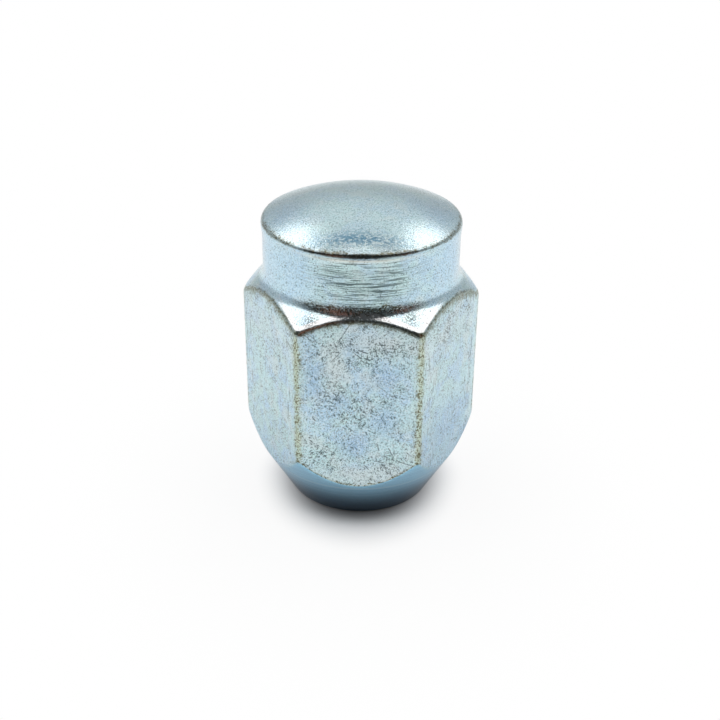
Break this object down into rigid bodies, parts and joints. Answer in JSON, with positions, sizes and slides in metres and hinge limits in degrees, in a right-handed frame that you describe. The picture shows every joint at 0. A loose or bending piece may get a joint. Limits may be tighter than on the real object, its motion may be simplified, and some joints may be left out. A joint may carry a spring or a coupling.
{
  "type": "lug nut",
  "caption": "Closed-end wheel nut: a hexagon body on a cone seat, with a round neck, a low domed crown and a blind stud bore.",
  "frame": {"origin": "centre of the flat ring at the small end of the cone seat, in the plane that the nut stands on", "axes": "+Z along the thread's axis, from the open end to the crown; two of the six flats face -Y and +Y, and two corners point along -X and +X"},
  "size_m": [0.024, 0.021, 0.0325],
  "materials": {
    "zinc_plate": "satin blue zinc plating on forged steel"
  },
  "bodies": {
    "root": {"lug_nut": "zinc_plate"}
  },
  "joints": []
}
